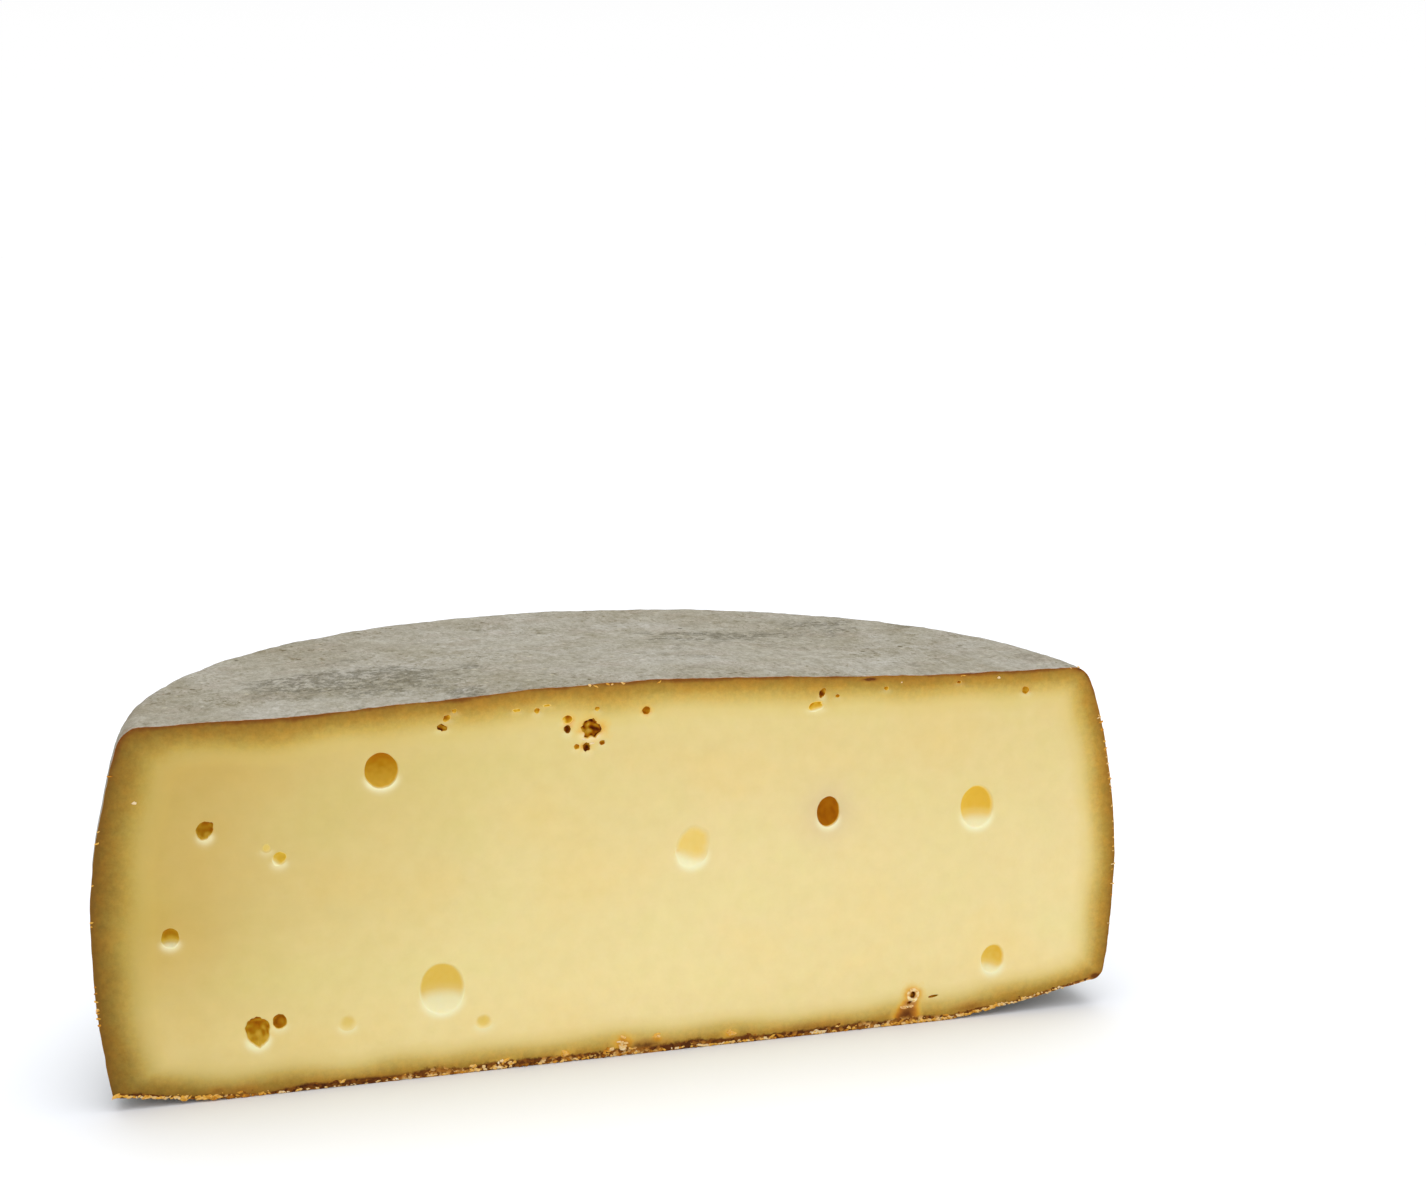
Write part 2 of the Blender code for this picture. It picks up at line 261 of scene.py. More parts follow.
def side_section(angle, t):
    """(radius, height) on the side, from the base's rim at t = 0 up to the top's edge at t = 1."""
    lift = rim_lift(angle)
    low_from, low_to = side_radius(lift) - base_corner(angle), lift + base_corner(angle)
    high_from, edge = EDGE_HEIGHT - TOP_CORNER, side_radius(EDGE_HEIGHT) - TOP_CORNER
    low_t = np.clip(t / LOW_CORNER_SHARE, 0, 1)
    side_t = np.clip((t - LOW_CORNER_SHARE) / (SIDE_SHARE - LOW_CORNER_SHARE), 0, 1)
    high_t = np.clip((t - SIDE_SHARE) / (1 - SIDE_SHARE), 0, 1)
    height = low_to + (high_from - low_to) * side_t
    radius = side_radius(height)
    low, high = t < LOW_CORNER_SHARE, t > SIDE_SHARE
    radius = np.where(low, turn(low_from, side_radius(lift), side_radius(low_to), low_t), radius)
    height = np.where(low, turn(lift, lift, low_to, low_t), height)
    top_radius = turn(side_radius(high_from), side_radius(EDGE_HEIGHT), edge, high_t)
    radius = np.where(high, top_radius, radius)
    height = np.where(high, turn(high_from, EDGE_HEIGHT, EDGE_HEIGHT, high_t), height)
    return radius, height


def around(radius, angle, height):
    """Points of the wheel in the frame, at these distances and angles from its axis."""
    return np.stack([AXIS_X + radius * np.cos(angle), CUT_Y + radius * np.sin(angle), height], axis=-1)


def inside(points, loop):
    """Which points lie within the closed row of points."""
    found = np.zeros(len(points), bool)
    x, y = points[:, 0], points[:, 1]
    for (x0, y0), (x1, y1) in zip(loop, np.roll(loop, -1, axis=0)):
        if y0 != y1:
            crosses = (y0 > y) != (y1 > y)
            found ^= crosses & (x < (x1 - x0) * (y - y0) / (y1 - y0) + x0)
    return found


def tree_of(points):
    tree = kdtree.KDTree(len(points))
    for i, (x, y) in enumerate(points):
        tree.insert((x, y, 0.0), i)
    tree.balance()
    return tree


def distances(points, others):
    """How far each point is from the nearest of the others."""
    tree = tree_of(others)
    return np.array([tree.find((x, y, 0.0))[2] for x, y in points])


def scatter(loop, fine_points, steps, holes, draw):
    """Points inside a closed row of points, in a jittered grid that widens by steps away from fine_points."""
    low, high = loop.min(axis=0), loop.max(axis=0)
    kept = loop
    inner = np.empty((0, 2))
    reached = 0.0
    for spacing, reach in steps:
        rows = np.arange(low[1], high[1], spacing * math.sqrt(3) / 2)
        columns = np.arange(low[0], high[0], spacing)
        grid = np.array([(x + (i % 2) * spacing / 2, y) for i, y in enumerate(rows) for x in columns])
        grid += draw.uniform(-JITTER, JITTER, grid.shape) * spacing
        grid = grid[inside(grid, loop)]
        gap = distances(grid, fine_points)
        grid = grid[(gap >= reached) & (gap < reach)]
        for hole in holes:
            near = np.abs(grid - hole.mean(axis=0)).max(axis=1) < np.ptp(hole, axis=0).max()
            within = np.zeros(len(grid), bool)
            within[near] = inside(grid[near], hole)
            grid = grid[~within]
        grid = grid[distances(grid, kept) > KEEP_APART * spacing]
        kept = np.concatenate([kept, grid])
        inner = np.concatenate([inner, grid])
        reached = reach
    return inner


def triangulate(loop, inner, holes=()):
    """Triangles, as indices into loop, holes and inner one after the other, all turned anticlockwise."""
    rows = [loop, *holes]
    points = np.concatenate([*rows, inner])
    edges = []
    start = 0
    for row in rows:
        count = len(row)
        edges += [(start + i, start + (i + 1) % count) for i in range(count)]
        start += count
    result = geometry.delaunay_2d_cdt([Vector(p) for p in points], edges, [], 1, 1e-9)
    first = [origins[0] if origins else -1 for origins in result[3]]
    faces = np.array([[first[v] for v in face] for face in result[2] if len(face) == 3])
    faces = faces[(faces >= 0).all(axis=1)]
    start = len(loop)
    for hole in holes:
        own = ((faces >= start) & (faces < start + len(hole))).all(axis=1)
        middle = points[faces[own]].mean(axis=1)
        filled = np.flatnonzero(own)[inside(middle, hole)]
        faces = np.delete(faces, filled, axis=0)
        start += len(hole)
    a, b, c = points[faces[:, 0]], points[faces[:, 1]], points[faces[:, 2]]
    area = (b[:, 0] - a[:, 0]) * (c[:, 1] - a[:, 1]) - (b[:, 1] - a[:, 1]) * (c[:, 0] - a[:, 0])
    faces = faces[np.abs(area) > 1e-14]
    area = area[np.abs(area) > 1e-14]
    faces[area < 0] = faces[area < 0][:, ::-1]
    return faces


def eased_angles():
    """Angles round the wheel, close together near the cut and RIM_SPACING apart elsewhere."""
    half = math.pi * WIDEST_RADIUS / 2
    walked = [0.0]
    while walked[-1] < half:
        step = FINE + (RIM_SPACING - FINE) * min(1.0, walked[-1] / RIM_EASE)
        walked.append(walked[-1] + step)
    row = np.array(walked) * half / walked[-1]
    return np.concatenate([row, 2 * half - row[-2::-1]]) / WIDEST_RADIUS


def eye_outline(name):
    """The eye's rim as points in the cut, in metres from the axis and above the base."""
    x, z, width, height, _, lean, drop, ragged, *_ = EYES[name]
    count = max(16, round(math.pi * (width + height) / 2 * MM / EYE_RIM_SPACING))
    angle = np.linspace(0, 2 * math.pi, count, endpoint=False)
    across, up = np.cos(angle), np.sin(angle)
    seed = x * 7.3 + z
    ring = np.column_stack([across, up, np.zeros(count)])
    uneven = 1 + ragged * (2 * noise_at(ring, 1.6, seed) + 0.8 * noise_at(ring, 4.5, seed))
    across = across * uneven * (1 - drop * np.clip(-up, 0, 1) ** 1.4)
    up = up * uneven
    tilt = math.radians(lean)
    px, pz = across * width / 2, up * height / 2
    cos, sin = math.cos(tilt), math.sin(tilt)
    turned = np.stack([px * cos + pz * sin, pz * cos - px * sin], 1)
    return (turned * (1 + rim_share(width, height)) + (x, z)) * MM


def rim_share(width, height):
    """How far the rounding of an eye's rim reaches, as a share of its radius."""
    return min(RIM_ROUND / MM / ((width + height) / 4), RIM_ROUND_SHARE)


class Skin:
    """Points, triangles and per-point values of one mesh while it is put together."""

    def __init__(self):
        self.points = []
        self.faces = []
        self.materials = []
        self.total = 0

    def add_points(self, points):
        """Adds points and returns their indices."""
        self.points.append(np.asarray(points, float))
        self.total += len(points)
        return np.arange(self.total - len(points), self.total)

    def add_faces(self, faces, material):
        self.faces.append(faces)
        self.materials.append(np.full(len(faces), material))


def noise_at(points, per_metre, shift=0.0):
    """Smooth noise from -1 to 1 at each point."""
    place = Vector((shift, shift * 0.7, shift * 1.3))
    return np.array([noise.noise(Vector(p) * per_metre + place) for p in points])


def layered_noise(points, layers):
    return sum(depth * noise_at(points, per_metre, shift) for per_metre, depth, shift in layers)


def point_normals(points, faces):
    a, b, c = points[faces[:, 0]], points[faces[:, 1]], points[faces[:, 2]]
    flat = np.cross(b - a, c - a)
    normals = np.zeros_like(points)
    for corner in range(3):
        np.add.at(normals, faces[:, corner], flat)
    length = np.linalg.norm(normals, axis=1, keepdims=True)
    return normals / np.maximum(length, 1e-12)


PASTE, RIND = 0, 1
SHARP_ANGLE = math.radians(50)


def build_edges(skin):
    """The rows of points that the four surfaces share."""
    angles = eased_angles()
    steps = np.linspace(0, 1, round(SIDE_LENGTH / FINE) + 1)
    rows = {"angles": angles, "steps": steps}
    ends = {}
    for name, angle in (("right", 0.0), ("left", math.pi)):
        radius, height = side_section(np.full_like(steps, angle), steps)
        ends[name] = around(radius, angle, height)
        ends[name][:, 1] = CUT_Y
        rows[name] = skin.add_points(ends[name])
    for name, t, end in (("rim", 0.0, 0), ("edge", 1.0, -1)):
        back = angles[1:-1]
        radius, height = side_section(back, np.full_like(back, t))
        middle = skin.add_points(around(radius, back, height))
        rows[name] = np.concatenate([[rows["right"][end]], middle, [rows["left"][end]]])
        start, stop = ends["left"][end, 0] - AXIS_X, ends["right"][end, 0] - AXIS_X
        x = np.linspace(start, stop, round((stop - start) / FINE) + 1)[1:-1]
        radius = np.abs(x)
        height = base_height(radius, np.where(x > 0, 0.0, math.pi)) if end == 0 else crown_height(radius)
        line = np.stack([AXIS_X + x, np.full_like(x, CUT_Y), height], axis=1)
        middle = skin.add_points(line)
        rows[name + "_line"] = np.concatenate([[rows["left"][end]], middle, [rows["right"][end]]])
    return rows


def fill(skin, loop, loop_ids, fine_points, steps, place, material, draw, holes=(), hole_ids=(), flip=False):
    """Fills one surface. place turns its flat points into points in the frame."""
    inner = scatter(loop, fine_points, steps, holes, draw)
    faces = triangulate(loop, inner, holes)
    inner_ids = skin.add_points(place(inner))
    ids = np.concatenate([loop_ids, *hole_ids, inner_ids])
    faces = ids[faces]
    skin.add_faces(faces[:, ::-1] if flip else faces, material)
    return inner_ids


def build_side(skin, rows, draw):
    angles, steps = rows["angles"], rows["steps"]
    wide = angles[-1] * WIDEST_RADIUS
    along, up = angles * WIDEST_RADIUS, steps * SIDE_LENGTH
    low = np.stack([along, np.zeros_like(along)], 1)
    far = np.stack([np.full_like(up, wide), up], 1)
    high = np.stack([along, np.full_like(along, SIDE_LENGTH)], 1)
    near = np.stack([np.zeros_like(up), up], 1)
    loop = np.concatenate([low[:-1], far[:-1], high[:0:-1], near[:0:-1]])
    ids = np.concatenate([rows["rim"][:-1], rows["left"][:-1], rows["edge"][:0:-1], rows["right"][:0:-1]])

    def place(flat):
        angle = flat[:, 0] / WIDEST_RADIUS
        radius, height = side_section(angle, flat[:, 1] / SIDE_LENGTH)
        return around(radius, angle, height)

    fill(skin, loop, ids, np.concatenate([near, far]), RIND_STEPS, place, RIND, draw)


def build_flat_face(skin, rim_ids, line_ids, height_at, steps, draw, flip=False):
    """Fills the top or the base, a half disc. height_at takes a distance and an angle from the axis."""
    points = np.concatenate(skin.points)
    ids = np.concatenate([rim_ids[:-1], line_ids[:-1]])

    def place(flat):
        x, y = flat[:, 0] - AXIS_X, flat[:, 1] - CUT_Y
        return np.column_stack([flat, height_at(np.hypot(x, y), np.arctan2(y, x))])

    fill(skin, points[ids][:, :2], ids, points[line_ids][:, :2], steps, place, RIND, draw, flip=flip)


def build_cut(skin, rows, draw):
    """The cut face, with a hole for each eye. Returns each eye's rim indices."""
    points = np.concatenate(skin.points)
    ids = np.concatenate(
        [rows["rim_line"][:-1], rows["right"][:-1], rows["edge_line"][:0:-1], rows["left"][:0:-1]]
    )
    loop = points[ids][:, [0, 2]]
    outlines = [eye_outline(name) + (AXIS_X, 0.0) for name in EYES]
    hole_ids = []
    for outline in outlines:
        flat = np.column_stack([outline[:, 0], np.full(len(outline), CUT_Y), outline[:, 1]])
        hole_ids.append(skin.add_points(flat))

    def place(flat):
        return np.column_stack([flat[:, 0], np.full(len(flat), CUT_Y), flat[:, 1]])

    fine_points = np.concatenate([loop, *outlines])
    inner_ids = fill(skin, loop, ids, fine_points, CUT_STEPS, place, PASTE, draw, outlines, hole_ids)
    return ids, hole_ids, inner_ids


def build_bowl(skin, name, rim_ids):
    """The hollow behind one rim: rings that round over the rim and follow a ball down to the bottom."""
    x, z, width, height, depth, _, _, ragged, *_ = EYES[name]
    middle = np.array([AXIS_X + x * MM, CUT_Y, z * MM])
    rounding = rim_share(width, height)
    out = (np.concatenate(skin.points)[rim_ids] - middle) / (1 + rounding)
    half_width = (width + height) / 4 * MM
    depth = depth * MM
    ball = (half_width**2 + depth**2) / (2 * depth)
    behind = depth - ball
    start = math.acos(max(-1.0, min(1.0, -behind / ball))) - rounding * half_width / ball
    rings = [(ball * math.sin(start) / half_width, behind + ball * math.cos(start))]
    rings.insert(0, (0.25 * (1 + rounding) + 0.5 + 0.25 * rings[0][0], 0.25 * rings[0][1]))
    for i in range(1, BOWL_RINGS):
        angle = start * (1 - i / BOWL_RINGS)
        rings.append((ball * math.sin(angle) / half_width, behind + ball * math.cos(angle)))
    last = rim_ids
    added = []
    for ring, (share, deep) in enumerate(rings):
        place = middle + out * share
        place[:, 1] = CUT_Y + deep
        place[:, 1] += ragged * 2.2 * MM * min(1.0, ring / 4) * noise_at(place, 700, x)
        ids = skin.add_points(place)
        added.append(ids)
        ahead, last_ahead = np.roll(ids, -1), np.roll(last, -1)
        skin.add_faces(np.stack([last, last_ahead, ahead], 1), PASTE)
        skin.add_faces(np.stack([last, ahead, ids], 1), PASTE)
        last = ids
    bottom = skin.add_points([middle + (0, behind + ball, 0)])
    skin.add_faces(np.stack([last, np.roll(last, -1), np.full(len(last), bottom[0])], 1), PASTE)
    return np.concatenate([*added, bottom])


def smooth_step(value):
    value = np.clip(value, 0, 1)
    return value * value * (3 - 2 * value)


def stain(flat, x, z, across, up):
    """1 in the middle of a stain, fading outwards. flat holds points from the axis and the base, in mm."""
    away = (flat[:, 0] - x) ** 2 / across**2 + (flat[:, 1] - z) ** 2 / up**2
    return np.exp(-1.2 * away)


def torn_rim(flat, x, z, half_width, half_height, breadth):
    """1 along an oval rim, fading to both sides."""
    out = np.hypot((flat[:, 0] - x) / half_width, (flat[:, 1] - z) / half_height)
    return np.exp(-(((out - 1) * (half_width + half_height) / 2 / breadth) ** 2))


def eye_values(points, bowl_ids, name):
    """How strongly the hollow's colour, partly painted shade, and the painted light on its pale lip show at
    each of its points.
    """
    x, z, width, height, depth, lean, _, ragged, tone, share = EYES[name]
    bowl = points[bowl_ids]
    deep = (bowl[:, 1] - CUT_Y) / (depth * MM)
    tilt = math.radians(lean)
    across, above = bowl[:, 0] / MM - AXIS_X / MM - x, bowl[:, 2] / MM - z
    up = (above * math.cos(tilt) + across * math.sin(tilt)) / (height / 2)
    # Painted light: the pale lower lip of the hollow, up to the lip share of its height.
    lip = smooth_step(0.5 - (up + 1 - 2 * share) / LIP_SOFT) if share else np.zeros(len(bowl_ids))
    fade = np.interp(2 * depth / (width + height), FLATNESS, FADE)
    # Painted shade: the hollow darker towards its upper part.
    shade = np.interp(tone, SHADE_TONES, UPPER_SHADE)
    uneven = 1 + shade * up + 3.4 * ragged * noise_at(bowl, 700, x)
    return tone * uneven * smooth_step(deep / fade) * (1 - lip), lip


def painted_light_below(face, name):
    """Painted light on the cut below an eye's rim. face holds points from the axis and the base, in mm."""
    x, z, width, height, *_ = EYES[name]
    across, above = (face[:, 0] - x) / (width / 2), (face[:, 1] - z) / (height / 2)
    out = np.hypot(across, above)
    gap = (out - 1) * (width + height) / 4
    below = smooth_step((-above / np.maximum(out, 0.01) - 0.1) / 0.7)
    return below * np.exp(-((gap / LIP_BELOW) ** 2)) * min(1.0, height / 8)


def cut_values(points, rows, face_ids, bowls):
    """Values on the paste that its material reads: band, crust, eyes, partly painted shade, the painted light
    of their lips, and stains.
    """
    names = ("band", "crust", "eye", "lip", "brown", "dark", "grey", "torn")
    values = {name: np.zeros(len(points)) for name in names}
    ids = np.concatenate([face_ids, *bowls.values()])
    paste = points[ids]
    flat = (paste[:, [0, 2]] - (AXIS_X, 0.0)) / MM
    wobble = noise_at(paste, 55, 3.0) * BAND_UNEVEN
    nearest = np.full(len(ids), 1.0)
    for row, width in BANDS.items():
        gap = distances(paste[:, [0, 2]], points[rows[row]][:, [0, 2]]) / MM
        uneven = gap + wobble * np.clip(gap / 6, 0, 1)
        nearest = np.minimum(nearest, uneven / width)
        if row == "rim_line":
            rise = CRUST_HEIGHT * np.interp(flat[:, 0], CRUST_PLACES, CRUST_SHARES)
            rise = rise * (1 + 0.6 * noise_at(paste * (1, 1, 0), 90, 7.0))
            values["crust"][ids] = 1 - smooth_step(gap / rise)
    values["band"][ids] = nearest
    for name, stains in STAINS.items():
        for *place, strength in stains:
            values[name][ids] = np.maximum(values[name][ids], strength * stain(flat, *place))
    for *place, _ in TORN_RIMS:
        values["torn"][ids] = np.maximum(values["torn"][ids], torn_rim(flat, *place))

    face = (points[face_ids][:, [0, 2]] - (AXIS_X, 0.0)) / MM
    for name, bowl_ids in bowls.items():
        # The hollows' colour, partly their own and partly painted shade.
        values["eye"][bowl_ids], values["lip"][bowl_ids] = eye_values(points, bowl_ids, name)
        # Painted light: the pale lips, and the cut just below each rim.
        values["lip"][face_ids] = np.maximum(values["lip"][face_ids], painted_light_below(face, name))
    return values


def brink_values(points, rind_ids):
    """1 where the rind meets the cut, falling to 0 at BRINK_REACH behind it."""
    brink = np.zeros(len(points))
    brink[rind_ids] = 1 - smooth_step((points[rind_ids, 1] - CUT_Y) / BRINK_REACH)
    return brink


def displace(points, normals, rind_ids, face_ids, edge_ids, base_line_ids, values):
    """Moves the rind in and out by its relief, and roughens the cut's edge and its lower crust."""
    moved = points.copy()
    rind = points[rind_ids]
    moved[rind_ids] = rind + normals[rind_ids] * layered_noise(rind, RIND_RELIEF)[:, None]
    moved[rind_ids, 2] = np.maximum(moved[rind_ids, 2], 0.0)
    face = points[face_ids]
    flat = (face[:, [0, 2]] - (AXIS_X, 0.0)) / MM
    proud = values["crust"][face_ids] * layered_noise(face, CRUST_RELIEF)
    rough = 0.75 + 0.6 * noise_at(face, 900, 8.0)
    for *place, height in TORN_RIMS:
        proud = np.maximum(proud, height * MM * torn_rim(flat, *place) * rough)
    moved[face_ids, 1] -= proud
    moved[edge_ids, 1] += layered_noise(points[edge_ids], EDGE_RELIEF)
    moved[base_line_ids, 2] += np.maximum(0, layered_noise(points[base_line_ids], BASE_LINE_RELIEF))
    return moved


def add_to_scene(name, data):
    """A new object with this mesh, light or camera."""
    obj = bpy.data.objects.new(name, data)
    bpy.context.scene.collection.objects.link(obj)
    return obj


def mesh_object(name, points, faces, values, material_of_face=None):
    """A smooth-shaded object from triangles, with the values kept on its points."""
    mesh = bpy.data.meshes.new(name)
    mesh.from_pydata(points.tolist(), [], faces.tolist())
    for key, value in values.items():
        mesh.attributes.new(key, "FLOAT", "POINT").data.foreach_set("value", value.astype(np.float32))
    if material_of_face is not None:
        mesh.polygons.foreach_set("material_index", material_of_face.astype(np.int32))
    mesh.shade_smooth()
    mesh.update()
    return add_to_scene(name, mesh)


def build_half():
    """The half's whole outside as one closed mesh, the rind and the cut with its eyes."""
    draw = np.random.default_rng(5)
    skin = Skin()
    rows = build_edges(skin)
    build_side(skin, rows, draw)
    top, base = (rows["edge"], rows["edge_line"]), (rows["rim"], rows["rim_line"])
    build_flat_face(skin, *top, lambda radius, _: crown_height(radius), RIND_STEPS, draw)
    build_flat_face(skin, *base, base_height, BASE_STEPS, draw, flip=True)
    cut_loop, hole_ids, inner_ids = build_cut(skin, rows, draw)
    bowls = {name: build_bowl(skin, name, ids) for name, ids in zip(EYES, hole_ids)}
    points = np.concatenate(skin.points)
    faces = np.concatenate(skin.faces)
    materials = np.concatenate(skin.materials)
    rind_faces = faces[materials == RIND]
    normals = point_normals(points, rind_faces)
    normals[cut_loop, 1] = 0.0
    values = cut_values(points, rows, np.concatenate([cut_loop, *hole_ids, inner_ids]), bowls)
    rind_ids = np.unique(rind_faces)
    values["brink"] = brink_values(points, rind_ids)
    base_line = rows["rim_line"][1:-1]
    moved = displace(points, normals, rind_ids, inner_ids, cut_loop, base_line, values)
    half = mesh_object("cheese_half", moved, faces, values, materials)
    half.data.set_sharp_from_angle(angle=SHARP_ANGLE)
    return half


def srgb(red, green, blue):
    """A colour given as 0 to 255 on screen, in the linear values that shaders take."""
    shares = (red / 255, green / 255, blue / 255)
    return tuple(v / 12.92 if v <= 0.04045 else ((v + 0.055) / 1.055) ** 2.4 for v in shares)


def set_stops(color_ramp, stops):
    """Puts (position, colour or grey) stops on a colour ramp."""
    elements = color_ramp.elements
    while len(elements) < len(stops):
        elements.new(0.5)
    for element, (position, colour) in zip(elements, stops):
        element.position = position
        grey = isinstance(colour, (int, float))
        element.color = (colour, colour, colour, 1.0) if grey else (*colour, 1.0)


class Tree:
    """Short calls for building one material's nodes."""

    def __init__(self, name):
        self.material = bpy.data.materials.new(name)
        self.material.use_nodes = True
        self.nodes = self.material.node_tree.nodes
        self.links = self.material.node_tree.links
        self.shader = self.nodes["Principled BSDF"]
        self.place = self.nodes.new("ShaderNodeTexCoord").outputs["Object"]

    def put(self, value, socket):
        if isinstance(value, bpy.types.NodeSocket):
            self.links.new(value, socket)
        elif isinstance(value, (tuple, list)) and len(value) == 3 and socket.type == "RGBA":
            socket.default_value = (*value, 1.0)
        else:
            socket.default_value = value

    def node(self, kind, inputs, **settings):
        """A new node of this kind, with its inputs by name or number, and its settings."""
        made = self.nodes.new("ShaderNode" + kind)
        for name, value in settings.items():
            setattr(made, name, value)
        for key, value in inputs.items():
            self.put(value, made.inputs[key])
        return made

    def math(self, operation, *values):
        return self.node("Math", dict(enumerate(values)), operation=operation).outputs[0]

    def attribute(self, name):
        return self.node("Attribute", {}, attribute_name=name).outputs["Fac"]

    def noise(self, per_metre, detail=3.0, roughness=0.5, distortion=0.0, place=None):
        inputs = {"Vector": place or self.place, "Scale": per_metre, "Detail": detail}
        inputs.update({"Roughness": roughness, "Distortion": distortion})
        return self.node("TexNoise", inputs).outputs["Fac"]

    def mask(self, start, full, *fineness, **place):
        """A mask of noise: 0 up to start, 1 from full on."""
        return self.ramp(self.noise(*fineness, **place), (start, 0.0), (full, 1.0))

    def cells(self, per_metre, place):
        """The distance from the nearest cell's middle, and a number from 0 to 1 drawn for that cell."""
        cells = self.node("TexVoronoi", {"Vector": place, "Scale": per_metre})
        chance = self.node("SeparateColor", {0: cells.outputs["Color"]}).outputs[0]
        return cells.outputs["Distance"], chance

    def ramp(self, value, *stops):
        """A ramp through (position, colour or grey) stops."""
        node = self.node("ValToRGB", {"Fac": value})
        set_stops(node.color_ramp, stops)
        return node.outputs["Color"]

    def colours(self, value, *stops):
        """A ramp through stops of a position and a colour given as 0 to 255 on screen."""
        return self.ramp(value, *((position, srgb(*colour)) for position, *colour in stops))

    def mix(self, share, first, second, blend="MIX"):
        inputs = {"Factor": share, 6: first, 7: second}
        return self.node("Mix", inputs, data_type="RGBA", blend_type=blend).outputs[2]

    def tint(self, colour, *tones):
        """The colour times each of the tones."""
        for tone in tones:
            colour = self.mix(1.0, colour, tone, "MULTIPLY")
        return colour

    def axis(self, name):
        return self.node("SeparateXYZ", {0: self.place}).outputs[name]

    def warp(self, per_metre, amount):
        """The place, moved about by noise."""
        moved_by = self.node("TexNoise", {"Vector": self.place, "Scale": per_metre}).outputs["Color"]
        inputs = {0: moved_by, 1: (amount, amount, amount), 2: self.place}
        return self.node("VectorMath", inputs, operation="MULTIPLY_ADD").outputs[0]

    def stretch(self, x, y, z):
        """The place with each axis scaled."""
        return self.node("VectorMath", {0: self.place, 1: (x, y, z)}, operation="MULTIPLY").outputs[0]

    def specks(self, per_metre, size, share, place):
        """Spots of a size, as a share of their spacing, in a share of the cells."""
        distance, chance = self.cells(per_metre, place)
        near = self.ramp(distance, (size * 0.45, 1.0), (size, 0.0))
        return self.math("MULTIPLY", near, self.math("LESS_THAN", chance, share))

    def bump(self, height, distance, below=None):
        inputs = {"Strength": 1.0, "Distance": distance, "Height": height}
        if below is not None:
            inputs["Normal"] = below
        return self.node("Bump", inputs).outputs["Normal"]

    def finish(self, colour, roughness, specular, normal=None):
        """Fills the shader's own inputs and returns the material."""
        inputs = {"Base Color": colour, "Roughness": roughness, "Specular IOR Level": specular}
        if normal is not None:
            inputs["Normal"] = normal
        for name, value in inputs.items():
            self.put(value, self.shader.inputs[name])
        return self.material


WHITE = (1.0, 1.0, 1.0)


def paste_ground(tree, rise, across, band):
    """Golden at the left and cream at the right, darker at the left partly by colour and partly by painted
    shade, lighter low down and darker high up by painted light and shade, darker in a band under the rind,
    with a line at its edge.
    """
    # Painted light: lower down, the left end takes the paler colours of the right.
    paler = tree.math("MULTIPLY_ADD", tree.ramp(rise, (0.14, 1.0), (0.45, 0.0)), 0.12, across)
    # Golden and darker towards the left end, partly the paste's own colour and partly painted shade.
    deep = tree.colours(
        paler,
        (0.03, 198, 166, 83), (0.12, 207, 181, 109), (0.24, 219, 198, 131),
        (0.40, 229, 210, 147), (0.62, 233, 213, 153), (0.95, 231, 211, 150),
    )
    # Painted light and shade: lighter and bluer towards the bottom, darker towards the top.
    painted_light_and_shade_by_height = tree.ramp(
        rise,
        (0.18, (1.07, 1.08, 1.11)), (0.27, (1.04, 1.06, 1.09)),
        (0.54, (0.995, 1.0, 1.01)), (0.82, (0.937, 0.919, 0.84)),
    )
    hue = tree.noise(30, 3, 0.5, place=tree.stretch(1, 1, 1.4))
    hue = tree.ramp(hue, (0.32, (1.015, 0.985, 0.93)), (0.5, WHITE), (0.68, (0.985, 1.01, 0.97)))
    mottle = tree.ramp(tree.noise(210, 4, 0.6), (0.3, (0.975, 0.97, 0.95)), (0.7, (1.015, 1.015, 1.03)))
    deep = tree.tint(deep, painted_light_and_shade_by_height, hue, mottle)

    brown = tree.colours(
        band,
        (0.0, 147, 105, 38), (0.10, 163, 122, 42), (0.30, 185, 149, 60),
        (0.50, 202, 171, 78), (0.75, 217, 192, 108),
    )
    speckle = tree.ramp(tree.noise(700, 3, 0.7), (0.35, (0.88, 0.87, 0.84)), (0.65, (1.1, 1.1, 1.12)))
    toned = tree.ramp(tree.noise(260, 4, 0.65), (0.36, (1.07, 0.98, 0.88)), (0.64, (0.94, 0.99, 1.04)))
    speckle = tree.mix(tree.ramp(band, (0.3, 1.0), (0.8, 0.0)), WHITE, tree.tint(speckle, toned))
    share = tree.ramp(band, (0.0, 0.0), (0.25, 0.02), (0.5, 0.22), (0.75, 0.65), (1.0, 1.0))
    colour = tree.mix(share, tree.tint(brown, speckle), deep)
    # Darker towards the left end in the band under the rind, partly the paste's own colour and partly painted
    # shade.
    shade = tree.ramp(across, (0.0, 0.66), (0.10, 0.785), (0.22, 0.93), (0.45, 1.0))
    colour = tree.tint(colour, tree.mix(tree.ramp(band, (0.3, 0.0), (0.9, 1.0)), shade, WHITE))

    patchy = tree.noise(60, 4, 0.65, place=tree.stretch(1, 1, 0.2))
    patchy = tree.math("MULTIPLY_ADD", patchy, 0.34, band)
    on_top = tree.ramp(rise, (0.84, 0.0), (0.90, 1.0))
    line = tree.ramp(tree.math("MULTIPLY_ADD", on_top, -0.022, patchy), (0.15, 0.75), (0.22, 0.0))
    return tree.mix(line, colour, tree.mix(on_top, srgb(122, 86, 30), srgb(116, 60, 16)))


